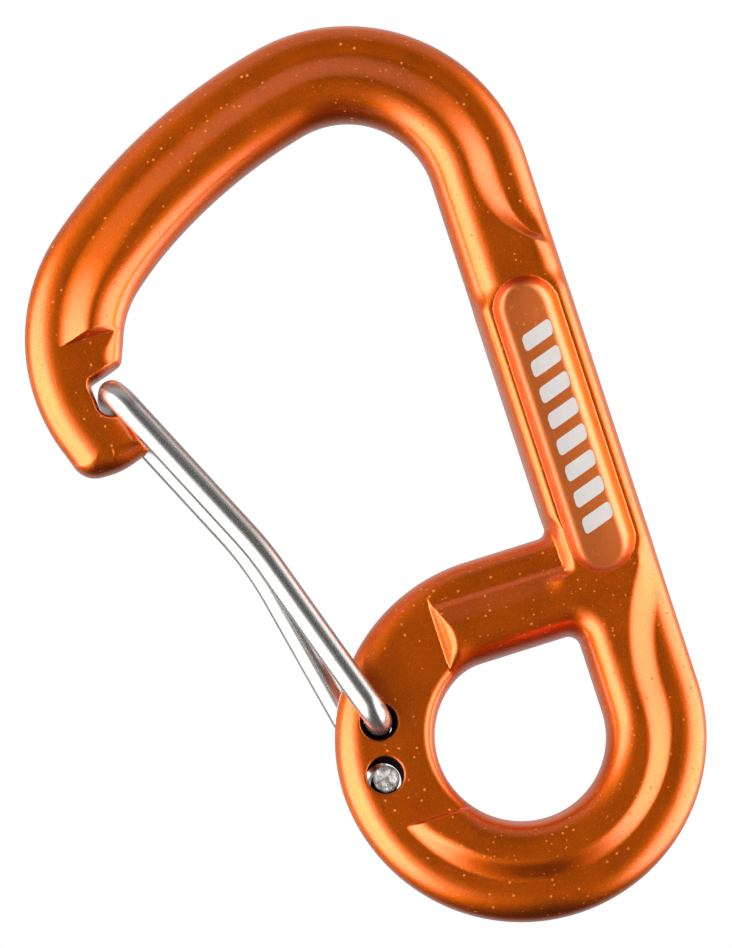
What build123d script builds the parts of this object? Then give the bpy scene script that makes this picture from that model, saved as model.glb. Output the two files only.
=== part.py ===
from build123d import *
import math
import os

# Accessory carabiner: one forged aluminium hook with a closed eye, and a sprung wire gate.
# Millimetres and degrees. +Z runs up along the spine, +X points to the spine, and the front
# faces -Y. The origin is the centre of the eye, at half the thickness of the forging.

# ---- driving dimensions -------------------------------------------------------------------
overall_height = 80.0
bend_radius = 16.0                                # outside of the eye ring and of the top bend
basket_height = overall_height - 2 * bend_radius  # centre of the top bend above the eye
eye_radius = 7.35
eye_top = 7.0
eye_corner_radius = 1.4
basket_radius = 7.5                               # inside of the top bend
crossbar_top = 15.72
crossbar_corner_radius = 0.9

low_thickness = 5.2                               # gate boss, nose and the outer grooves
rib_thickness = 7.6                               # spine, crossbar rib, ring rib and hook rib
low_edge_radius = 0.75
rib_edge_radius = 1.9

# The hook leaves the top bend in tangent arcs: (radius, turn) outside and inside.
crown_turn = 102.5
hook_back = [(52.0, 26.1), (16.4, 71.6)]
inner_crown_turn = 103.4
hook_throat = [(46.6, 18.0), (34.6, 8.6), (8.5, 31.1)]

wire_radius = 1.15
hole_radius = 1.6
hole_rim_radius = 0.3                             # clears the bend of the wire as the gate opens
hole_circle_radius = 12.25                        # both gate holes lie on this circle
upper_hole_angle = 158.0
lower_hole_angle = 179.6
gate_loop = (-24.5, 38.6)                         # cross-piece of the loop, closed
gate_kink = (-16.7, 21.6)                         # where both legs bend a little
gate_kink_radius = 30.0
loop_bend_radius = 2.3
end_bend_radius = 1.9                             # where each leg turns into its hole
leg_offset = 4.0                                  # leg centre from the mid-plane
wire_end_inset = 2.2                              # cut face to the mid-plane, far side
lower_end_shift = (0.0, -0.3)                     # lower end in its hole, gate closed
split_gap = 0.01                                  # each wire half stops short of the mid-plane

label_width = 5.9
label_bottom = 10.9
label_top = 37.5
label_depth = 1.1
label_floor_radius = 0.9

os.makedirs("parts", exist_ok=True)


def on_circle(radius, angle):
    """A point at this angle on a circle round the eye."""
    a = math.radians(angle)
    return (radius * math.cos(a), radius * math.sin(a))


upper_hole = on_circle(hole_circle_radius, upper_hole_angle)
lower_hole = on_circle(hole_circle_radius, lower_hole_angle)


def at_depth(point, y):
    """A point of the front view, given as (across, up), moved to this depth."""
    x, z = point
    return (x, y, z)


def arc_chain(first, arcs):
    """Tangent arcs that carry on from the end of an edge."""
    edges = [first]
    for radius, turn in arcs:
        edges.append(JernArc(edges[-1] @ 1, edges[-1] % 1, radius, turn))
    return edges


def corner(face, x, y, radius):
    """Rounds the corner of a flat face that lies nearest to (x, y)."""
    vertex = face.vertices().sort_by_distance((x, y, 0))[0]
    return fillet(vertex, radius)


# ---- outlines, drawn flat in XY and stood up later ----------------------------------------
def body_face():
    """The whole forging seen from the front, eye included, before the gate holes."""
    nose_foot = (-28.9, 32.25)          # lowest point of the nose, outer side
    nose_low = (-26.0, 32.33)           # on the slightly bulged underside
    beak_foot = (-22.5, 33.1)           # underside of the nose, inner side
    beak_lip = (-22.9, 37.25)           # below the mouth of the notch
    pocket_foot = (-25.72, 36.75)       # floor of the notch, behind the gate's cross-piece
    pocket_head = (-25.95, 40.02)       # roof of the notch
    tip = (-22.85, 40.92)               # tooth above the mouth of the notch
    bar_corner = (basket_radius, crossbar_top)
    bar_end = (0, crossbar_top)         # the crossbar's top runs on into the ring here
    ring_left = (-bend_radius, -0.28)
    with BuildSketch() as sketch:
        with BuildLine():
            spine = Line((bend_radius, 0), (bend_radius, basket_height))
            crown = JernArc(spine @ 1, spine % 1, bend_radius, crown_turn)
            back = arc_chain(crown, hook_back)
            Line(back[-1] @ 1, nose_foot)
            ThreePointArc(nose_foot, nose_low, beak_foot)
            Polyline(beak_foot, beak_lip, pocket_foot, pocket_head, tip)
            inner_spine = Line(bar_corner, (basket_radius, basket_height))
            inner_crown = JernArc(inner_spine @ 1, inner_spine % 1, basket_radius,
                                  inner_crown_turn)
            throat = arc_chain(inner_crown, hook_throat)
            Line(throat[-1] @ 1, tip)
            Line(bar_corner, bar_end)
            TangentArc(bar_end, ring_left, tangent=(-1, 0))
            ThreePointArc(ring_left, (0, -bend_radius), (bend_radius, 0))
        make_face()
        for point, radius in (
            (nose_foot, 2.2),
            (beak_foot, 0.9),
            (beak_lip, 0.9),
            (pocket_foot, 1.0),
            (pocket_head, 0.5),
            (tip, 0.85),
            (bar_corner, crossbar_corner_radius),
        ):
            corner(sketch.face(), *point, radius)
    return sketch.face() - eye_face()


def eye_face():
    """The eye: a circle whose upper right quarter is squared off against crossbar and spine."""
    top_left = (-math.sqrt(eye_radius**2 - eye_top**2), eye_top)
    with BuildSketch() as sketch:
        with BuildLine():
            Line((eye_radius, 0), (eye_radius, eye_top))
            Line((eye_radius, eye_top), top_left)
            ThreePointArc(top_left, (-eye_radius, 0), on_circle(eye_radius, 225))
            ThreePointArc(on_circle(eye_radius, 225), (0, -eye_radius), (eye_radius, 0))
        make_face()
        corner(sketch.face(), eye_radius, eye_top, eye_corner_radius)
    return sketch.face()


# ---- solids -------------------------------------------------------------------------------
def stand_up(shape):
    """Turns a shape drawn flat in XY so that its Y runs up and its thickness runs along Y."""
    return shape.rotate(Axis.X, 90)


def plate(face, thickness, edge_radius):
    """The face at this thickness, centred on the mid-plane, with its rims rounded."""
    solid = extrude(face, thickness / 2, both=True)
    rims = [e for e in solid.edges() if abs(abs(e.center().Z) - thickness / 2) < 1e-4]
    return fillet(rims, edge_radius)


def bar_face(body):
    """The forging without its nose, which the thick bar never reaches."""
    nose_top = 41.6
    nose_box = Pos(-35, nose_top) * Rectangle(30, 50, align=(Align.CENTER, Align.MAX))
    return (body - nose_box).faces().sort_by(SortBy.AREA)[-1]


def raised_face():
    """Where the forging is thick, bounded by the foot of every flank.

    Off the metal the boundary may run anywhere, so there it is only straight lines."""
    groove_width = 3.2                  # from the outside of the metal to the foot line
    foot_radius = bend_radius - groove_width
    shoulder_turn = 38.5                # ends at the step across the hook
    ring_foot_radius = 12.5
    ring_step = -4.4                    # the ring is thick below this height
    bar_step = -4.2                     # the crossbar is thick to the right of this
    bar_foot = 12.5                     # and below this height
    spine_edge = basket_radius - 0.4
    ring_corner = (-math.sqrt(ring_foot_radius**2 - ring_step**2), ring_step)
    groove_low = (16.2, 8.4)            # the grooves run out of the spine's edge here
    groove_high = (16.4, 39.4)
    outside = bend_radius + 4.0
    with BuildSketch() as sketch:
        with BuildLine():
            upper = Line((foot_radius, 44.5), (foot_radius, basket_height))
            crown = JernArc(upper @ 1, upper % 1, foot_radius, crown_turn)
            back = JernArc(crown @ 1, crown % 1, hook_back[0][0] - groove_width, hook_back[0][1])
            shoulder = JernArc(back @ 1, back % 1, hook_back[1][0] - groove_width, shoulder_turn)
            Polyline(
                shoulder @ 1,
                (-12, (shoulder @ 1).Y),
                (2, 17.5),
                (spine_edge, 17.5),
                (spine_edge, bar_foot),
                (bar_step, bar_foot),
                (bar_step, ring_step),
                ring_corner,
            )
            ThreePointArc(ring_corner, (0, -ring_foot_radius), (ring_foot_radius, 0))
            TangentArc((ring_foot_radius, 0), groove_low, tangent=(0, 1))
            Polyline(groove_low, (outside, 14), (outside, 36), groove_high)
            TangentArc(upper @ 0, groove_high, tangent=(0, -1))
        make_face()
    return sketch.face()


def raised_zone():
    """Everything inside the flanks of the thick region, on both sides of the mid-plane."""
    reach = rib_thickness / 2 + 0.3
    block = extrude(raised_face(), reach, both=True)
    rims = [e for e in block.edges() if abs(abs(e.center().Z) - reach) < 1e-4]
    return chamfer(rims, reach - low_thickness / 2)


def label_pocket():
    """Long recess in the spine, open at the front face, with a dished floor."""
    length = label_top - label_bottom
    floor_height = rib_thickness / 2 - label_depth
    middle = ((basket_radius + bend_radius) / 2, (label_top + label_bottom) / 2)
    stadium = Pos(*middle, floor_height) * SlotOverall(length, label_width, rotation=90)
    pocket = extrude(stadium, 2 * label_depth)
    floor = [e for e in pocket.edges() if abs(e.center().Z - floor_height) < 1e-4]
    return fillet(floor, label_floor_radius)


def forged_body():
    """The one-piece hook: a thin plate, a thick bar on top of it, two pockets, two holes."""
    face = body_face()
    thin = plate(face, low_thickness, low_edge_radius)
    thick = plate(bar_face(face), rib_thickness, rib_edge_radius)
    solid = thin + (thick & raised_zone())
    pocket = label_pocket()
    solid = solid - pocket - mirror(pocket, Plane.XY)
    for x, y in (upper_hole, lower_hole):
        solid -= Pos(x, y, 0) * Cylinder(hole_radius, rib_thickness)
    circles = solid.edges().filter_by(GeomType.CIRCLE)
    rims = [e for e in circles if abs(e.radius - hole_radius) < 1e-4]
    return stand_up(fillet(rims, hole_rim_radius))


def wire_half(side, end):
    """Half of the gate wire: half the loop, a leg, and the end that turns into its hole.

    side is -1 for the front leg and +1 for the back leg; end is the hole centre to aim at."""
    offset = side * leg_offset
    points = [
        at_depth(gate_loop, side * split_gap),
        at_depth(gate_loop, offset),
        at_depth(gate_kink, offset),
        at_depth(end, offset),
        at_depth(end, -side * wire_end_inset),
    ]
    bends = [loop_bend_radius, gate_kink_radius, end_bend_radius]
    path = FilletPolyline(*points, radius=bends)
    section = Plane(origin=path @ 0, z_dir=path % 0) * Circle(wire_radius)
    return sweep(section, path=path)


lower_end = (lower_hole[0] + lower_end_shift[0], lower_hole[1] + lower_end_shift[1])

parts = {
    "forged_body": forged_body(),
    "gate_wire_front": wire_half(-1, upper_hole),
    "gate_wire_back": wire_half(1, lower_end),
}
for name, part in parts.items():
    export_step(part, f"parts/{name}.step")
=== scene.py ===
import math

import bpy
import numpy as np
from mathutils import Matrix, Vector


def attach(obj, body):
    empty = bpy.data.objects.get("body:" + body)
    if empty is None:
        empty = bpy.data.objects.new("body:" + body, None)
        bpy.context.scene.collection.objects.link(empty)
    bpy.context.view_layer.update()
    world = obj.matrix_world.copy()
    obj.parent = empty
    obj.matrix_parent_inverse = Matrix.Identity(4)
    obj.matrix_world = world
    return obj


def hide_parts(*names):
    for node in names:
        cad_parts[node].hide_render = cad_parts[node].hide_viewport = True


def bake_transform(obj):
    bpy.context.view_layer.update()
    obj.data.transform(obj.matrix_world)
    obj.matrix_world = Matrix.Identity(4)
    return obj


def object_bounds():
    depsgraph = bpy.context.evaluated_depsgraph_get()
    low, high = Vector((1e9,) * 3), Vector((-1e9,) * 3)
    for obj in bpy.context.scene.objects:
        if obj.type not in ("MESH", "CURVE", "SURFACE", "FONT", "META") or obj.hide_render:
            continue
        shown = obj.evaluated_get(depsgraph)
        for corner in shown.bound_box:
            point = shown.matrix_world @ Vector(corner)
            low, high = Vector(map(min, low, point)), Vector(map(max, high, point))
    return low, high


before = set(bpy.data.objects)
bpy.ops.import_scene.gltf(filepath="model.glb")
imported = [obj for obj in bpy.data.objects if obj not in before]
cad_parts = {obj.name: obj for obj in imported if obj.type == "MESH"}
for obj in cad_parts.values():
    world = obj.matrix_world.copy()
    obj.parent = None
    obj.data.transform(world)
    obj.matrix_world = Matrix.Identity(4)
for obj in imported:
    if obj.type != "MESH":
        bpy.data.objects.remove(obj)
cad_low, cad_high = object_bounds()

# An accessory carabiner: one forged, orange anodised hook and a gate bent from one steel wire.
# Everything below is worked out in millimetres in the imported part's frame: +Z up along the
# spine, +X towards the spine, the front facing -Y, the origin in the centre of the eye.
# Meshes are scaled to metres when they are made.
MM = 0.001

# ---- sizes of the forging -----------------------------------------------------------------
bend_radius = cad_high.x / MM                      # outside of the eye ring and the top bend
basket_height = cad_high.z / MM - bend_radius      # centre of the top bend
basket_radius = 7.5                                # inside of the top bend
crossbar_top = 15.72
eye_radius = 7.35
eye_top = 7.0
low_half = 2.6                                     # half thickness of boss, nose and grooves
rib_rise = 1.2                                     # how much the rib stands above them
foot_depth = 2.7                                   # outer edge to the foot of the rib's flank
crest_depth = 5.2                                  # outer edge to the top of the flank
spine_crest_shift = 0.45                           # the flank's top lies deeper at the spine
rim_reach = 1.35                                   # the rounding fades out beyond its width
rim_power = 1.3                                    # and eases into the flat

# Where the rib ends: heights at the hook and the ring, and a place across the crossbar.
hook_step = 43.65
ring_step = -4.6
bar_step = -4.2

# Much of the relief holds only above or below the middle height, only to the right of the
# spine's side, or only to the left of the hook's side.
middle_height = 25
spine_side = 5
hook_side = -12

# Beside the spine the groove ends in leaves. The upper leaf lies inside two arcs, with their
# centres at these heights; the lower one carries on from the two circles of the ring.
leaf_crest_height = 47.0
leaf_crest_radius = 8.1
leaf_foot_height = 44.2
leaf_foot_radius = 5.5
low_leaf_radius = 18.0
ring_crest_radius = 10.2
ring_foot_radius = 13.1

# The label recess in the spine, on both faces.
pocket_middle = 11.6
pocket_half_width = 2.85
pocket_low = 10.9
pocket_high = 37.5
pocket_depth = 1.05
pocket_wall = 1.35

# ---- sizes of the gate wire ---------------------------------------------------------------
hole_radius = 1.56
hole_waist = 0.31                                  # the upper hole is this much narrower inside
wire_radius = 1.15
wire_side = 4.0                                    # leg centre from the mid-plane
wire_inset = 2.2                                   # cut face from the mid-plane
split_depth = 1.4                                  # the ends part from the legs this far out
gate_loop = (-24.5, 38.6)
gate_kink = (-16.7, 21.6)
hole_circle = 12.25                                # both gate holes lie on this circle
lower_end_drop = 0.3                               # the lower end sits low in its hole


def on_circle(radius, angle, centre=(0, 0)):
    """The point at this angle, in degrees, on a circle in the front view."""
    a = math.radians(angle)
    return (centre[0] + radius * math.cos(a), centre[1] + radius * math.sin(a))


upper_hole = on_circle(hole_circle, 158.0)
lower_hole = on_circle(hole_circle, 179.6)


# ---- lines and arcs of the front view -----------------------------------------------------
class Line:
    """A straight edge. The metal is on its left."""

    def __init__(self, start, end):
        self.start = np.array(start, float)
        self.end = np.array(end, float)
        self.length = np.linalg.norm(self.end - self.start)
        self.heading = (self.end - self.start) / self.length

    def reversed(self):
        return Line(self.end, self.start)

    def distance(self, x, z):
        """How far each point is from the edge, and whether it is on its left."""
        dx = x - self.start[0]
        dz = z - self.start[1]
        hx, hz = self.heading
        along = np.clip(dx * hx + dz * hz, 0, self.length)
        return np.hypot(dx - along * hx, dz - along * hz), hx * dz - hz * dx > 0


class Arc:
    """A round edge from the angle first, turning left by turn degrees, or right if negative."""

    def __init__(self, centre, radius, first, turn):
        self.centre = np.array(centre, float)
        self.radius = radius
        self.first = first
        self.turn = turn
        self.start = np.array(on_circle(radius, first, centre))
        self.end = np.array(on_circle(radius, first + turn, centre))
        a = math.radians(first + turn)
        self.heading = np.array((-math.sin(a), math.cos(a))) * math.copysign(1, turn)

    def reversed(self):
        return Arc(self.centre, self.radius, self.first + self.turn, -self.turn)

    def distance(self, x, z):
        dx = x - self.centre[0]
        dz = z - self.centre[1]
        r = np.hypot(dx, dz)
        middle = self.first + self.turn / 2
        off = (np.degrees(np.arctan2(dz, dx)) - middle + 180) % 360 - 180
        to_start = np.hypot(x - self.start[0], z - self.start[1])
        to_end = np.hypot(x - self.end[0], z - self.end[1])
        beside = np.abs(off) <= abs(self.turn) / 2
        gap = np.where(beside, np.abs(r - self.radius), np.minimum(to_start, to_end))
        return gap, (r < self.radius) == (self.turn > 0)


def carry_on(edge, arcs):
    """Tangent left-turning arcs (radius, turn) that follow on from an edge."""
    chain = []
    for radius, turn in arcs:
        left = np.array((-edge.heading[1], edge.heading[0]))
        centre = edge.end + radius * left
        first = math.degrees(math.atan2(-left[1], -left[0]))
        edge = Arc(centre, radius, first, turn)
        chain.append(edge)
    return chain


def bends(points, radii):
    """Where a path through points is rounded: (start, centre, turn in radians, in, sideways)."""
    points = [np.array(p, float) for p in points]
    for before, at, after, radius in zip(points, points[1:], points[2:], radii):
        way_in = (at - before) / np.linalg.norm(at - before)
        way_out = (after - at) / np.linalg.norm(after - at)
        cosine = float(way_in @ way_out)
        turn = math.acos(max(-1.0, min(1.0, cosine)))
        sideways = (way_out - cosine * way_in) / math.sin(turn)
        start = at - way_in * radius * math.tan(turn / 2)
        yield start, start + radius * sideways, turn, way_in, sideways


def rounded(points, radii):
    """Lines through the points, with the inner corners rounded."""
    edges = []
    here = points[0]
    for (start, centre, turn, way_in, sideways), radius in zip(bends(points, radii), radii):
        edges.append(Line(here, start))
        first = math.degrees(math.atan2(start[1] - centre[1], start[0] - centre[0]))
        left = way_in[0] * sideways[1] - way_in[1] * sideways[0] > 0
        edges.append(Arc(centre, radius, first, math.degrees(turn) * (1 if left else -1)))
        here = edges[-1].end
    edges.append(Line(here, points[-1]))
    return edges


def flipped(edges):
    """The same edges walked the other way."""
    return [e.reversed() for e in reversed(edges)]


# ---- outline of the forging, metal on the left --------------------------------------------
def outline():
    """Edges by group: each group has its own roundness across the rim."""
    spine = Line((bend_radius, 0), (bend_radius, basket_height))
    crown = Arc((0, basket_height), bend_radius, 0, 102.5)
    back = carry_on(crown, [(52.0, 26.1), (16.4, 71.6)])

    inner_crown = Arc((0, basket_height), basket_radius, 0, 103.4)
    throat = carry_on(inner_crown, [(46.6, 18.0), (34.6, 8.6), (8.5, 31.1)])

    corners = [
        back[-1].end,
        (-28.9, 32.25),                 # heel of the nose
        (-25.65, 32.1),                 # its slightly bulged underside
        (-22.5, 33.1),                  # toe of the nose
        (-22.9, 37.25),                 # lip below the mouth of the notch
        (-25.72, 36.75),                # bottom of the notch
        (-25.95, 40.02),                # roof of the notch
        (-22.85, 40.92),                # tooth above the mouth
        throat[-1].end,
    ]
    nose = rounded(corners, [2.2, 7.0, 0.9, 0.9, 1.0, 0.5, 0.85])

    bar_corner = (basket_radius, crossbar_top)
    bar = rounded([(basket_radius, basket_height), bar_corner, (0, crossbar_top)], [0.9])
    shoulder = Arc((0, crossbar_top - bend_radius), bend_radius, 90, 90)
    ring = Arc((0, 0), bend_radius, 181, 179)
    return {
        "outer": [spine, crown, *back, nose[0], shoulder, ring],
        "nose": nose[1:7],
        "notch": nose[7:14],
        "throat": [nose[14], *flipped([inner_crown, *throat]), *bar],
        **eye_outline(),
    }


def eye_outline():
    """A circle whose upper right quarter is squared off against the crossbar and the spine."""
    blend_radius = 5.0                  # leads from the crossbar's edge into the circle
    rise = (eye_radius - blend_radius) ** 2 - (eye_top - blend_radius) ** 2
    blend_centre = (-math.sqrt(rise), eye_top - blend_radius)
    lean = math.degrees(math.atan2(blend_centre[1], blend_centre[0]))
    straight = rounded([(eye_radius, 0), (eye_radius, eye_top), (blend_centre[0], eye_top)], [1.0])
    blend = Arc(blend_centre, blend_radius, 90, lean - 90)
    circle = Arc((0, 0), eye_radius, lean, 360 - lean)
    return {"eye side": flipped([straight[0], circle]), "eye top": flipped([*straight[1:], blend])}


# ---- relief of the forging ----------------------------------------------------------------
def smooth(v):
    """0 below 0, 1 above 1, and an S-curve between."""
    v = np.clip(v, 0, 1)
    return v * v * (3 - 2 * v)


def soft_min(first, second, blend=0.1):
    """The smaller of two heights, with the crease between them rounded."""
    share = np.clip(0.5 + (second - first) / (2 * blend), 0, 1)
    return second + (first - second) * share - blend * share * (1 - share)


def between(x, z, crest, foot):
    """How far a point has gone from the crest circle to the foot circle of a flank, 0 to 1.

    Each circle is (centre x, centre z, radius); the groove lies inside both."""
    past_crest = crest[2] - np.hypot(x - crest[0], z - crest[1])
    past_foot = foot[2] - np.hypot(x - foot[0], z - foot[1])
    return past_crest / np.maximum(past_crest - past_foot, 0.8)


def hook_part(x, z):
    """1 low on the hook, where everything is a little wider, 0 elsewhere."""
    return smooth((54 - z) / 8) * smooth((hook_side - x) / 6)


def groove(x, z, outer_depth):
    """0 in the groove along the outer edge, 1 on top of the rib, with the flank between."""
    crest_here = crest_depth + 0.7 * hook_part(x, z) + spine_crest_shift * smooth(x / 8)
    by_depth = (outer_depth - foot_depth) / (crest_here - foot_depth)

    # Beside the spine the groove ends in a leaf: its flank swings out to the spine's edge.
    crest_middle = bend_radius - crest_depth - spine_crest_shift + leaf_crest_radius
    foot_middle = bend_radius - foot_depth + leaf_foot_radius
    crest_drop = np.minimum(z, leaf_crest_height) - leaf_crest_height
    foot_drop = np.minimum(z, leaf_foot_height) - leaf_foot_height
    below_crest = leaf_crest_radius - np.hypot(x - crest_middle, crest_drop)
    below_foot = leaf_foot_radius - np.hypot(x - foot_middle, foot_drop)
    top_leaf = 1 - below_crest / np.maximum(below_crest - below_foot, 0.9)

    # Round the ring the flank narrows a little towards the bottom.
    r = np.hypot(x, z)
    ring_crest = ring_crest_radius + 0.8 * smooth(-z / 10)
    ring_foot = ring_foot_radius - 0.2 * smooth(-z / 10)
    ring_flank = 1 - (r - ring_crest) / (ring_foot - ring_crest)
    low_crest = (ring_crest_radius + low_leaf_radius, 0.0, low_leaf_radius)
    low_foot = (ring_foot_radius + low_leaf_radius, 0.0, low_leaf_radius)
    low_leaf = 1 - between(x, z, low_crest, low_foot)

    lower = np.where(z < 0, ring_flank, np.where(x > 0, low_leaf, 1.0))
    upper = np.where((x > spine_side) & (z < leaf_crest_height), top_leaf, by_depth)
    rise = smooth(np.where(z < middle_height, lower, upper))

    # The leaf tips fade out before they reach the rim, where the groove ends more gradually.
    tips = (x > spine_side) & (z > 3) & (z < 46)
    rim_rise = np.where(z < middle_height, smooth((z - 7) / 7), smooth((44 - z) / 6))
    share = np.where(tips, smooth((outer_depth - 0.4) / 1.6), 1.0)
    return rim_rise * (1 - share) + rise * share


def cut_end(v, width, share, swell):
    """The end of a rib: a flat cut up to a share of its height, then a slower swell."""
    return share * np.clip(v / width, 0, 1) + (1 - share) * smooth((v - width) / swell)


def raised(x, z):
    """1 where the rib may stand, 0 on the boss, on the low crossbar and on the nose.

    Across the crossbar the rib is a small step at its edge and then a long slope."""
    hook = cut_end(z - hook_step, 0.65, 0.95, 1.0)
    ring = cut_end(ring_step - z, 0.28, 0.5, 4.0)
    bar_profile = 0.12 * smooth((12.7 - z) / 0.5) + 0.88 * smooth((13.9 - z) / 4.7)
    near_spine = smooth((x - 5.5) / 2.5) * smooth((12.1 - z) / 0.8)
    bar_profile = bar_profile + (1 - bar_profile) * near_spine
    bar_end = 1 - (1 - np.clip((x - bar_step) / 2.0, 0, 1)) ** 2
    bar = np.maximum(0, soft_min(1.1 * bar_end, bar_profile))
    spine_edge = basket_radius + 0.3 - 1.6 * smooth((z - 15.4) / 3.2)
    spine = 1 - (1 - np.clip((x - spine_edge) / 1.3, 0, 1)) ** 2
    lower = 1 - (1 - ring) * (1 - bar) * (1 - spine)
    upper = np.where(x < hook_side, hook, 1.0)
    return np.where(z < middle_height, lower, upper)


def pocket(x, z):
    """How far the recess has sunk: 0 outside its rim, 1 at the edge of its dished floor."""
    low = pocket_low + pocket_half_width
    high = pocket_high - pocket_half_width
    past_end = np.abs(z - np.clip(z, low, high)) / pocket_half_width
    inward = pocket_half_width * (1 - np.hypot((x - pocket_middle) / pocket_half_width, past_end))
    width = pocket_wall - 0.6 * smooth(past_end)
    wall = 1 - (1 - np.clip(inward / width, 0, 1)) ** 2.3
    return wall + 0.12 * smooth(inward / pocket_half_width)


def rim_width(group, x, z, relief):
    """How wide the rounding of the rim is, seen from the front.

    Each term is an amount in millimetres times where it applies."""
    beside_pocket = smooth((z - pocket_low) / 2) * smooth((pocket_high - z) / 2) * (x > 0)
    if group == "outer":
        shoulder = smooth((x + 10) / 8) * (z > 0) * (z < 20) * (x < 5)
        ring_side = 0.25 * smooth((x - 2) / 8) * smooth((10 - z) / 6)
        narrower = 0.3 * shoulder + 0.7 * beside_pocket
        return 1.85 + 0.3 * hook_part(x, z) + ring_side - narrower
    if group == "nose":
        heel = 0.5 * smooth((z - 32.5) / 2.5) * (x < -26)
        toe = smooth((x + 24.3) / 1.3)
        return 1.4 + heel + 0.2 * toe * smooth((z - 33) / 2)
    if group == "notch":
        lip = 1.15 * smooth((x + 24.3) / 1.3) * (z < 39)
        tooth = 1.25 * smooth((x + 24.2) / 1.4) * (z > 39)
        return 0.45 + lip + tooth
    if group == "throat":
        tooth = 1.7 - 0.9 * smooth((z - 41.8) / 2.0)
        low = np.where(z > 30, tooth, 1.6)
        high = 2.35 + 0.6 * smooth((50 - z) / 5) * (x < hook_side)
        return low + (high - low) * relief - 1.5 * beside_pocket * relief
    return 1.0 + 1.0 * relief


boundary = outline()


def layers(x, z):
    """What the forging is like at points of the front view.

    Returns how far up the rim's rounding each point is (0 on the flats, 1 on the edge), the
    half thickness there, and how far it lies inside the upper and the lower gate hole."""
    gaps = {}
    nearest = np.full(x.shape, np.inf)
    inside = np.zeros(x.shape, bool)
    closest = np.zeros(x.shape, int)
    for number, (group, edges) in enumerate(boundary.items()):
        gap = np.full(x.shape, np.inf)
        for edge in edges:
            d, left = edge.distance(x, z)
            nearer = d < nearest
            nearest = np.where(nearer, d, nearest)
            inside = np.where(nearer, left, inside)
            closest = np.where(nearer, number, closest)
            gap = np.minimum(gap, d)
        gaps[group] = gap

    blend = 0.1 + 0.25 * smooth(-z / 5)
    relief = np.maximum(0, soft_min(groove(x, z, gaps["outer"]), 1.1 * raised(x, z), blend))
    half = low_half + rib_rise * relief - pocket_depth * pocket(x, z)
    rim = np.zeros(x.shape)
    for number, (group, gap) in enumerate(gaps.items()):
        width = rim_width(group, x, z, relief)
        signed = np.where(inside | (closest != number), gap, -gap)
        rim = np.maximum(rim, 1 - signed / (rim_reach * width))
    rim = np.where(inside, rim, np.maximum(rim, 1 + 0.2 * nearest))
    holes = [hole_radius - np.hypot(x - h[0], z - h[1]) for h in (upper_hole, lower_hole)]
    return rim, half, *holes


def fullness(y, rim, half, upper, lower, rounding=0.25):
    """Below zero in the metal, zero on its surface, above zero outside.

    The lower hole has no waist, as the wire's end wanders a little in it when the gate opens."""
    body = half * (np.hypot(rim ** rim_power, y / half) - 1)
    waist = hole_waist * smooth((low_half - 0.3 - np.abs(y)) / 0.5)
    hole = np.maximum(upper - waist, lower)
    share = np.clip(0.5 + (body - hole) / (2 * rounding), 0, 1)
    return hole + (body - hole) * share + rounding * share * (1 - share)


def slope(p, step):
    """The value of fullness at points p, and its gradient."""
    x, y, z = p.T
    here = layers(x, z)
    value = fullness(y, *here)
    across = fullness(y, *layers(x + step, z)) - fullness(y, *layers(x - step, z))
    up = fullness(y, *layers(x, z + step)) - fullness(y, *layers(x, z - step))
    through = fullness(y + step, *here) - fullness(y - step, *here)
    return value, np.stack([across, through, up], axis=1) / (2 * step)


# ---- turning the relief into a mesh -------------------------------------------------------
def surface_nets(values):
    """Vertices, in grid steps, and quads of the surface where values change sign."""
    inside = values < 0
    shape = tuple(n - 1 for n in values.shape)
    count = np.zeros(shape, np.int8)
    for i in (0, 1):
        for j in (0, 1):
            for k in (0, 1):
                count += inside[i:i + shape[0], j:j + shape[1], k:k + shape[2]]
    cells = np.argwhere((count > 0) & (count < 8))
    number = np.full(shape, -1)
    number[tuple(cells.T)] = np.arange(len(cells))

    total = np.zeros((len(cells), 3))
    crossings = np.zeros(len(cells))
    unit = np.eye(3, dtype=int)
    for axis in range(3):
        a, b = [unit[n] for n in range(3) if n != axis]
        for shift in (0 * a, a, b, a + b):
            near = cells + shift
            far = near + unit[axis]
            first = values[tuple(near.T)]
            second = values[tuple(far.T)]
            crossed = (first < 0) != (second < 0)
            share = np.where(crossed, first / np.where(crossed, first - second, 1), 0)
            total += (near + share[:, None] * unit[axis]) * crossed[:, None]
            crossings += crossed
    vertices = total / crossings[:, None]

    quads = []
    for axis in range(3):
        a, b = [unit[n] for n in range(3) if n != axis]
        ends = [np.take(inside, range(s, inside.shape[axis] - 1 + s), axis) for s in (0, 1)]
        at = np.argwhere(ends[0] != ends[1])
        at = at[(at @ a > 0) & (at @ b > 0) & (at @ a < shape[a.argmax()])
                & (at @ b < shape[b.argmax()])]
        ring = [number[tuple((at - shift).T)] for shift in (a + b, b, 0 * a, a)]
        ring = np.stack(ring, axis=1)
        turned = ends[0][tuple(at.T)] == (axis == 1)
        ring[turned] = ring[turned][:, ::-1]
        quads.append(ring)
    return vertices, np.concatenate(quads)


def new_mesh(name, vertices, faces, normals=None):
    """A smooth mesh object in metres from vertices in millimetres."""
    mesh = bpy.data.meshes.new(name)
    faces = faces.tolist() if isinstance(faces, np.ndarray) else faces
    mesh.from_pydata((np.asarray(vertices) * MM).tolist(), [], faces)
    mesh.polygons.foreach_set("use_smooth", [True] * len(mesh.polygons))
    if normals is not None:
        mesh.normals_split_custom_set_from_vertices(normals.tolist())
    mesh.update()
    obj = bpy.data.objects.new(name, mesh)
    bpy.context.scene.collection.objects.link(obj)
    return obj


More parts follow.
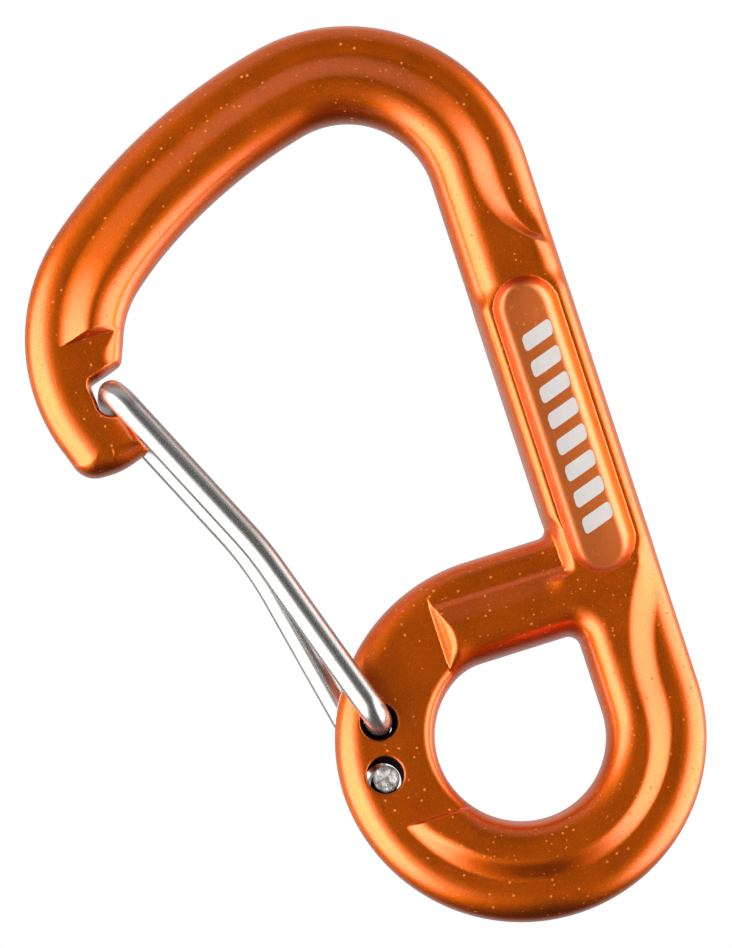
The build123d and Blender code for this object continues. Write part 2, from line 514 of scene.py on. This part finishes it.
def forged_hook(step):
    """The forging, meshed where its fullness is zero and pulled exactly onto that surface."""
    margin = 3 * step
    low = np.array((cad_low.x / MM, -low_half - rib_rise, cad_low.z / MM)) - margin
    high = np.array((cad_high.x / MM, low_half + rib_rise, cad_high.z / MM)) + margin
    xs, ys, zs = [np.arange(a, b, step) for a, b in zip(low, high)]
    grid_x, grid_z = np.meshgrid(xs, zs, indexing="ij")
    flat = [part[:, None, :] for part in layers(grid_x, grid_z)]
    values = fullness(ys[None, :, None], *flat)
    vertices, quads = surface_nets(values)
    vertices = vertices * step + low
    pulls = 4
    for _ in range(pulls):
        value, gradient = slope(vertices, 0.01)
        move = gradient * (value / (gradient ** 2).sum(axis=1))[:, None]
        far = np.linalg.norm(move, axis=1, keepdims=True)
        vertices = vertices - move * np.minimum(1, step / np.maximum(far, 1e-9))
    crease_reach = 0.07                 # creases are shaded as if this wide on either side
    _, gradient = slope(vertices, crease_reach)
    normals = gradient / np.linalg.norm(gradient, axis=1, keepdims=True)
    hook = new_mesh("hook_body", vertices, quads, normals)
    x, y, z = vertices.T
    # Marks the bores of the gate holes, where the material paints shade near-black.
    in_hole = np.maximum(*layers(x, z)[2:])
    paint(hook, "in_hole", smooth(1 + (in_hole - 0.02) / 0.2))
    paint(hook, "in_pocket", smooth(pocket(x, z) * 1.4 - 0.3) * (np.abs(y) > 1))
    return hook


def paint(obj, name, values):
    """Stores one number per vertex, for the material to read."""
    layer = obj.data.attributes.new(name, "FLOAT", "POINT")
    layer.data.foreach_set("value", values.astype(np.float32))


# ---- the gate wire ------------------------------------------------------------------------
def wire_path(spacing=0.25):
    """Points along the wire, from its upper end round the loop to its lower end."""
    lower_end = (lower_hole[0], lower_hole[1] - lower_end_drop)
    corners = [
        (upper_hole[0], wire_inset, upper_hole[1]),
        (upper_hole[0], -wire_side, upper_hole[1]),
        (gate_kink[0], -wire_side, gate_kink[1]),
        (gate_loop[0], -wire_side, gate_loop[1]),
        (gate_loop[0], wire_side, gate_loop[1]),
        (gate_kink[0], wire_side, gate_kink[1]),
        (lower_end[0], wire_side, lower_end[1]),
        (lower_end[0], -wire_inset, lower_end[1]),
    ]
    radii = [1.9, 30.0, 2.3, 2.3, 30.0, 1.9]
    points = [np.array(corners[0])]
    for (start, _, turn, way_in, sideways), radius in zip(bends(corners, radii), radii):
        points += straight(points[-1], start, spacing)
        steps = max(2, math.ceil(radius * turn / spacing), math.ceil(math.degrees(turn) / 5))
        for share in np.linspace(0, 1, steps + 1)[1:]:
            a = share * turn
            points.append(start + radius * (way_in * math.sin(a) + sideways * (1 - math.cos(a))))
    points += straight(points[-1], np.array(corners[-1]), spacing)
    return np.array(points)


def straight(start, end, spacing):
    """Evenly spaced points from start to end, without start."""
    steps = max(1, math.ceil(np.linalg.norm(end - start) / spacing))
    return [start + (end - start) * n / steps for n in range(1, steps + 1)]


def gate_wire(around=40):
    """The steel wire as three tubes: the loop with both legs, and each end in its hole.

    The ends meet the legs inside the holes, so that each can ride on the body of its own leg."""
    path = wire_path()
    ways = np.gradient(path, axis=0)
    ways /= np.linalg.norm(ways, axis=1, keepdims=True)
    side = np.array((1.0, 0.0, 0.0))
    angles = np.linspace(0, 2 * math.pi, around, endpoint=False)
    lengths = np.concatenate([[0], np.linalg.norm(np.diff(path, axis=0), axis=1).cumsum()])
    rings = []
    for place, way, length in zip(path, ways, lengths):
        side = side - (side @ way) * way
        side /= np.linalg.norm(side)
        other = np.cross(way, side)
        spokes = np.outer(np.cos(angles), side) + np.outer(np.sin(angles), other)
        rings.append((place, spokes, length))
    first_face = cut_face(rings[0], -ways[0])
    last_face = cut_face(rings[-1], ways[-1])[::-1]
    loops = [(place + spokes * wire_radius, length) for place, spokes, length in rings]
    front = int(np.argmax(path[:, 1] < -split_depth))
    back = len(path) - 1 - int(np.argmax(path[::-1, 1] > split_depth))
    return (
        tube("gate_wire", loops[front:back + 1], lengths[-1]),
        tube("gate_wire_front_end", first_face + loops[1:front + 1], lengths[-1]),
        tube("gate_wire_back_end", loops[back:-1] + last_face, lengths[-1]),
    )


def tube(name, loops, whole_length):
    """A closed tube through the loops, painted with where each vertex is on the wire."""
    around = len(loops[0][0])
    faces = []
    for ring in range(len(loops) - 1):
        for n in range(around):
            m = (n + 1) % around
            a = ring * around
            b = a + around
            faces.append((a + n, a + m, b + m, b + n))
    count = len(loops) * around
    top = count - around
    for n in range(around):
        m = (n + 1) % around
        faces.append((count, m, n))
        faces.append((count + 1, top + n, top + m))
    middles = [points.mean(axis=0) for points, _ in (loops[0], loops[-1])]
    vertices = np.concatenate([*[points for points, _ in loops], middles])
    along = np.concatenate([np.repeat([length for _, length in loops], around),
                            [loops[0][1], loops[-1][1]]])
    made = new_mesh(name, vertices, faces)
    paint(made, "along", along)
    from_end = np.minimum(along, whole_length - along)
    cut = from_end < 0.01
    hole_length = wire_inset + low_half
    paint(made, "cut", cut * 1.0)
    # in_hole marks where the wire lies inside a hole, for the painted shade in its material.
    paint(made, "in_hole", np.where(cut, 0.0, smooth((hole_length - 0.1 - from_end) / 0.5)))
    angles = np.linspace(0, 2 * math.pi, around, endpoint=False)
    circle = np.stack([np.cos(angles), np.sin(angles), 0 * angles], axis=1)
    spin = np.concatenate([np.tile(circle, (len(loops), 1)), np.zeros((2, 3))])
    turn = made.data.attributes.new("around", "FLOAT_VECTOR", "POINT")
    turn.data.foreach_set("vector", spin.astype(np.float32).ravel())
    made.data.set_sharp_from_angle(angle=math.radians(32))
    return made


def cut_face(ring, way):
    """Loops of a cut end that looks along way, from near its middle to the full wire."""
    place, spokes, length = ring
    angles = np.arange(len(spokes)) * (2 * math.pi / len(spokes))
    loops = []
    for share, depth in ((0.25, 0.0), (0.5, 0.0), (0.72, 0.0), (0.88, 0.02)):
        dimple = 0.02 * np.sin(2 * angles + 5 * share)
        points = place + spokes * wire_radius * share + np.outer(dimple - depth, way)
        loops.append((points, length))
    loops.append((place + spokes * wire_radius * 0.96 - way * 0.07, length))
    loops.append((place + spokes * wire_radius - way * 0.16, length))
    return loops


# ---- the printed mark ---------------------------------------------------------------------
def printed_bars(bars=8):
    """A plain row of slanted bars in white ink on the floor of the front recess."""
    low, high = 14.5, 33.5
    middle = pocket_middle + 0.3
    half_width = 1.4
    slant = 0.32
    corner = 0.35
    pitch = (high - low) / bars
    half_height = 0.3 * pitch
    vertices, faces = [], []
    columns, rows = 28, 14
    for bar in range(bars):
        centre = low + (bar + 0.5) * pitch
        start = len(vertices)
        for i in range(columns + 1):
            s = i / columns * 2 - 1
            inset = max(0.0, abs(s) * half_width - (half_width - corner))
            reach = half_height - corner + math.sqrt(max(corner ** 2 - inset ** 2, 0))
            for j in range(rows + 1):
                t = j / rows * 2 - 1
                across = s * half_width
                vertices.append((middle + across, centre + slant * across + t * reach))
        for i in range(columns):
            for j in range(rows):
                a = start + i * (rows + 1) + j
                faces.append((a, a + rows + 1, a + rows + 2, a + 1))
    flat = np.array(vertices)
    floor = layers(flat[:, 0], flat[:, 1])[1]
    ink = 0.03
    front = np.stack([flat[:, 0], -floor - ink, flat[:, 1]], axis=1)
    back = np.stack([flat[:, 0], -floor + ink, flat[:, 1]], axis=1)
    count = len(flat)
    faces = np.array(faces)
    sides = rim_faces(faces, count)
    all_faces = [*faces.tolist(), *(faces[:, ::-1] + count).tolist(), *sides]
    bars_mesh = new_mesh("spine_print", np.concatenate([front, back]), all_faces)
    bars_mesh.data.set_sharp_from_angle(angle=math.radians(40))
    return bars_mesh


def rim_faces(faces, count):
    """Quads that join the free edges of a sheet to those of its copy, count vertices on."""
    edges = {}
    for face in faces.tolist():
        for a, b in zip(face, face[1:] + face[:1]):
            edges[(a, b)] = True
    return [(b, a, a + count, b + count) for a, b in edges if (b, a) not in edges]


# ---- materials ----------------------------------------------------------------------------
def node(tree, kind, inputs=None, **settings):
    """A shader node with its settings, and its inputs set or linked."""
    made = tree.nodes.new("ShaderNode" + kind)
    for name, value in settings.items():
        setattr(made, name, value)
    for name, value in (inputs or {}).items():
        if isinstance(value, bpy.types.NodeSocket):
            tree.links.new(value, made.inputs[name])
        else:
            made.inputs[name].default_value = value
    return made


def blank_material(name):
    """A material with an empty node tree, and that tree."""
    material = bpy.data.materials.new(name)
    material.use_nodes = True
    material.node_tree.nodes.clear()
    return material, material.node_tree


def millimetres(tree):
    """Object coordinates in millimetres."""
    place = node(tree, "TexCoord").outputs["Object"]
    return node(tree, "VectorMath", {0: place, 3: 1 / MM}, operation="SCALE").outputs[0]


def noise(tree, place, scale, detail=2.0, roughness=0.5):
    """Fractal noise, about 0 to 1."""
    return node(tree, "TexNoise", {
        "Vector": place, "Scale": scale, "Detail": detail, "Roughness": roughness,
    }).outputs["Fac"]


def remap(tree, value, low, high, to_low=0.0, to_high=1.0, shape="SMOOTHSTEP"):
    """The value carried from low..high to to_low..to_high, and held there beyond."""
    return node(tree, "MapRange", {
        "Value": value, "From Min": low, "From Max": high, "To Min": to_low, "To Max": to_high,
    }, interpolation_type=shape).outputs[0]


def calc(tree, operation, first, second=0.0):
    """One operation on two values."""
    return node(tree, "Math", {0: first, 1: second}, operation=operation).outputs[0]


def mix_colour(tree, share, first, second):
    """The first colour, with a share of the second."""
    return node(tree, "Mix", {0: share, 6: first, 7: second}, data_type="RGBA").outputs[2]


def surface(tree, shader):
    """Ends the tree in this shader."""
    node(tree, "OutputMaterial", {"Surface": shader})


def anodised_orange():
    """Bead-blasted aluminium under a clear orange anodic layer."""
    material, tree = blank_material("anodised_orange")
    place = millimetres(tree)

    patches = noise(tree, place, 0.3, 3.0)
    grain = noise(tree, place, 7.0, 3.0, 0.6)
    pits = noise(tree, place, 2.6, 2.0)
    specks = calc(tree, "MAXIMUM", scattered(tree, place, 2.0, 0.05, 0.13, 0.18),
                  scattered(tree, place, 3.0, 0.03, 0.07, 0.2))

    deep = mix_colour(tree, patches, (0.78, 0.124, 0.0008, 1), (0.90, 0.149, 0.0012, 1))
    deep = mix_colour(tree, remap(tree, grain, 0.42, 0.75), deep, (1.0, 0.19, 0.004, 1))
    pocket_part = node(tree, "Attribute", attribute_name="in_pocket").outputs["Fac"]
    colour = mix_colour(tree, calc(tree, "MULTIPLY", pocket_part, 0.5), deep,
                        (1.0, 0.36, 0.11, 1))

    roughness = remap(tree, patches, 0.3, 0.7, 0.47, 0.51)
    roughness = calc(tree, "ADD", roughness, calc(tree, "MULTIPLY", pocket_part, 0.08))
    height = calc(tree, "ADD", calc(tree, "MULTIPLY", grain, 0.4),
                  calc(tree, "MULTIPLY", pits, 0.6))
    height = calc(tree, "ADD", height, calc(tree, "MULTIPLY", specks, 0.9))
    bump = node(tree, "Bump", {"Height": height, "Strength": 0.85, "Distance": 0.02 * MM})
    metal = node(tree, "BsdfPrincipled", {
        "Base Color": colour, "Metallic": 1.0, "Roughness": roughness,
        "Specular Tint": (1.0, 0.65, 0.45, 1),
        "Coat Weight": 1.0, "Coat Roughness": 0.18, "Coat IOR": 1.5,
        "Normal": bump.outputs[0],
    }).outputs[0]
    dust = node(tree, "BsdfDiffuse", {"Color": (0.95, 0.27, 0.06, 1)}).outputs[0]
    dusty = node(tree, "MixShader", {
        0: calc(tree, "MULTIPLY", specks, 0.9), 1: metal, 2: dust,
    }).outputs[0]
    # Painted shade: the bores of the gate holes are painted near-black where they lie in shade.
    painted_shade = node(tree, "BsdfDiffuse", {"Color": (0.012, 0.006, 0.004, 1)}).outputs[0]
    hole = node(tree, "Attribute", attribute_name="in_hole").outputs["Fac"]
    surface(tree, node(tree, "MixShader", {0: hole, 1: dusty, 2: painted_shade}).outputs[0])
    return material


def scattered(tree, place, density, small, large, share):
    """Round specks in millimetres: density cells to a millimetre, a share of them filled."""
    dots = node(tree, "TexVoronoi", {"Vector": place, "Scale": density, "Randomness": 1.0})
    luck = node(tree, "SeparateColor", {0: dots.outputs["Color"]})
    chosen = calc(tree, "LESS_THAN", luck.outputs[0], share)
    size = remap(tree, luck.outputs[1], 0.0, 1.0, small * density, large * density, "LINEAR")
    near = calc(tree, "LESS_THAN", dots.outputs["Distance"], size)
    return calc(tree, "MULTIPLY", near, chosen)


def drawn_steel():
    """Bright drawn stainless wire: faint lines along it, dull marks near its bends."""
    material, tree = blank_material("drawn_steel")
    along = node(tree, "Attribute", attribute_name="along").outputs["Fac"]
    spin = node(tree, "Attribute", attribute_name="around").outputs["Vector"]
    split = node(tree, "SeparateXYZ", {0: spin})
    lines_at = node(tree, "CombineXYZ", {
        0: calc(tree, "MULTIPLY", split.outputs[0], 9.0),
        1: calc(tree, "MULTIPLY", split.outputs[1], 9.0),
        2: calc(tree, "MULTIPLY", along, 0.12),
    }).outputs[0]
    marks_at = node(tree, "CombineXYZ", {
        0: calc(tree, "MULTIPLY", split.outputs[0], 1.2),
        1: calc(tree, "MULTIPLY", split.outputs[1], 1.2),
        2: calc(tree, "MULTIPLY", along, 0.9),
    }).outputs[0]
    lines = noise(tree, lines_at, 1.0, 3.0, 0.6)
    marks = remap(tree, noise(tree, marks_at, 1.0, 4.0, 0.65), 0.55, 0.68)
    near_hole = remap(tree, along, 9.0, 19.0, 1.0, 0.0)
    scuffs = calc(tree, "MULTIPLY", marks, near_hole)
    colour = mix_colour(tree, lines, (0.50, 0.49, 0.48, 1), (0.60, 0.59, 0.575, 1))
    colour = mix_colour(tree, calc(tree, "MULTIPLY", scuffs, 0.6), colour,
                        (0.1, 0.095, 0.09, 1))
    roughness = calc(tree, "ADD", remap(tree, lines, 0.3, 0.7, 0.24, 0.32),
                     calc(tree, "MULTIPLY", scuffs, 0.22))
    bump = node(tree, "Bump", {"Height": lines, "Strength": 0.12, "Distance": 0.02 * MM})
    drawn = node(tree, "BsdfPrincipled", {
        "Base Color": colour, "Metallic": 0.86, "Roughness": roughness, "Normal": bump.outputs[0],
    }).outputs[0]

    # The cut ends are hammered, and inside its holes the wire is painted near-black as painted
    # shade.
    place = millimetres(tree)
    blows = noise(tree, place, 1.3, 3.0, 0.6)
    worn = remap(tree, blows, 0.4, 0.6)
    dents = node(tree, "Bump", {"Height": blows, "Strength": 1.0, "Distance": 0.5 * MM})
    hammered = node(tree, "BsdfPrincipled", {
        "Base Color": mix_colour(tree, worn, (0.85, 0.83, 0.8, 1), (0.3, 0.28, 0.26, 1)),
        "Metallic": 0.35, "Roughness": 0.45, "Normal": dents.outputs[0],
    }).outputs[0]
    # Painted shade: near-black where the wire lies inside a hole.
    painted_shade = node(tree, "BsdfDiffuse", {"Color": (0.015, 0.014, 0.013, 1)}).outputs[0]
    cut = node(tree, "Attribute", attribute_name="cut").outputs["Fac"]
    hidden = node(tree, "Attribute", attribute_name="in_hole").outputs["Fac"]
    outside = node(tree, "MixShader", {0: cut, 1: drawn, 2: hammered}).outputs[0]
    surface(tree, node(tree, "MixShader", {0: hidden, 1: outside, 2: painted_shade}).outputs[0])
    return material


def white_ink():
    """Pad-printed white ink, slightly uneven."""
    material, tree = blank_material("white_ink")
    place = millimetres(tree)
    cover = noise(tree, place, 2.5, 3.0)
    grain = noise(tree, place, 14.0, 2.0)
    colour = mix_colour(tree, cover, (0.80, 0.79, 0.78, 1), (0.90, 0.89, 0.88, 1))
    bump = node(tree, "Bump", {"Height": grain, "Strength": 0.3, "Distance": 0.01 * MM})
    shader = node(tree, "BsdfPrincipled", {
        "Base Color": colour, "Roughness": 0.5, "Normal": bump.outputs[0],
    })
    surface(tree, shader.outputs[0])
    return material


def pale_floor():
    """A pale floor that fades into the white backdrop, and is only there from above."""
    material, tree = blank_material("pale_floor")
    place = node(tree, "TexCoord").outputs["Object"]
    reach = node(tree, "VectorMath", {0: place}, operation="LENGTH").outputs["Value"]
    tone = mix_colour(tree, noise(tree, place, 40.0, 3.0), (0.86, 0.86, 0.855, 1),
                      (0.89, 0.89, 0.885, 1))
    matt = node(tree, "BsdfDiffuse", {"Color": tone}).outputs[0]
    white = node(tree, "Emission", {"Color": (1, 1, 1, 1), "Strength": 1.0}).outputs[0]
    clear = node(tree, "BsdfTransparent").outputs[0]
    far = remap(tree, reach, 0.1, 0.5)
    faded = node(tree, "MixShader", {0: far, 1: matt, 2: white}).outputs[0]
    below = node(tree, "NewGeometry").outputs["Backfacing"]
    surface(tree, node(tree, "MixShader", {0: below, 1: faded, 2: clear}).outputs[0])
    return material


# ---- studio -------------------------------------------------------------------------------
def towards(away, round_axis):
    """A direction so many degrees away from the camera, and so many round its line of sight.

    Round 0 is right in the picture and 90 is up. In camera space Z runs away from the camera."""
    a, b = math.radians(away), math.radians(round_axis)
    return (math.sin(a) * math.cos(b), math.sin(a) * math.sin(b), -math.cos(a))


def studio_light():
    """Large soft boxes left and right, weaker light from above, little from the camera itself.

    The lights stand still beside the camera, so a turned object is lit the same way."""
    world = bpy.data.worlds.new("studio")
    bpy.context.scene.world = world
    world.use_nodes = True
    tree = world.node_tree
    tree.nodes.clear()
    outward = node(tree, "TexCoord").outputs["Generated"]
    facing = node(tree, "VectorTransform", {0: outward}, vector_type="VECTOR",
                  convert_from="WORLD", convert_to="CAMERA").outputs[0]
    total = 0.04
    boxes = [
        # away, round, half width, softness, radiance
        (70, 193, 41, 11, 4.3),         # left soft box
        (36, 195, 27, 8, 1.0),          # a sheet that spreads it towards the camera
        (86, 0, 41, 11, 3.9),           # right soft box
        (103, 98, 42, 18, 0.5),         # overhead
        (180, 0, 45, 16, 0.45),         # white backdrop behind the object
    ]
    for away, turn, half_width, softness, radiance in boxes:
        aim = towards(away, turn)
        lined_up = node(tree, "VectorMath", {0: facing, 1: aim}, operation="DOT_PRODUCT")
        edge = math.cos(math.radians(half_width + softness))
        core = math.cos(math.radians(half_width - softness))
        glow = remap(tree, lined_up.outputs["Value"], edge, core, 0.0, radiance)
        total = calc(tree, "ADD", glow, total)
    lit = node(tree, "Background", {"Color": (1.0, 0.99, 0.97, 1), "Strength": total}).outputs[0]
    white = node(tree, "Background", {"Color": (1, 1, 1, 1), "Strength": 1.0}).outputs[0]
    seen = node(tree, "LightPath").outputs["Is Camera Ray"]
    shown = node(tree, "MixShader", {0: seen, 1: lit, 2: white}).outputs[0]
    node(tree, "OutputWorld", {"Surface": shown})
    bpy.context.scene.view_settings.view_transform = "Standard"


def floor():
    """A wide pale sheet under the eye ring."""
    reach = 4.0 / MM
    height = cad_low.z / MM
    corners = [(-reach, -reach, 0), (reach, -reach, 0), (reach, reach, 0), (-reach, reach, 0)]
    sheet = new_mesh("floor", corners, [(0, 1, 2, 3)])
    sheet.location.z = height * MM
    sheet.data.materials.append(pale_floor())
    sheet.visible_glossy = False


def camera():
    """A long lens a metre away, a little below and left of the object, tilted on its axis."""
    target = Vector((-5.65, 0, 25.61)) * MM
    distance = 1.0
    side, below, roll = (math.radians(a) for a in (4.7, 7.0, 18.0))
    back = Vector((-math.sin(side) * math.cos(below), -math.cos(side) * math.cos(below),
                   -math.sin(below)))
    level = Vector((0, 0, 1)).cross(back).normalized()
    upright = back.cross(level)
    right = level * math.cos(roll) - upright * math.sin(roll)
    up = upright * math.cos(roll) + level * math.sin(roll)
    data = bpy.data.cameras.new("camera")
    data.lens = 441.8
    data.sensor_width = 36.0
    data.clip_start = 0.1
    data.clip_end = 20.0
    made = bpy.data.objects.new("camera", data)
    bpy.context.scene.collection.objects.link(made)
    rows = Matrix((right, up, back)).transposed().to_4x4()
    made.matrix_world = Matrix.Translation(target + back * distance) @ rows
    bpy.context.scene.camera = made


# ---- putting it together ------------------------------------------------------------------
mesh_step = 0.15
hook = forged_hook(mesh_step)
hook.data.materials.append(anodised_orange())
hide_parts("forged_body")
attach(hook, "hook")

mark = printed_bars()
mark.data.materials.append(white_ink())
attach(mark, "hook")

wire, front_end, back_end = gate_wire()
steel = drawn_steel()
for piece in (wire, front_end, back_end):
    piece.data.materials.append(steel)
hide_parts("gate_wire_front", "gate_wire_back")
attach(front_end, "gate_front")
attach(back_end, "gate_back")
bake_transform(wire)

floor()
studio_light()
camera()
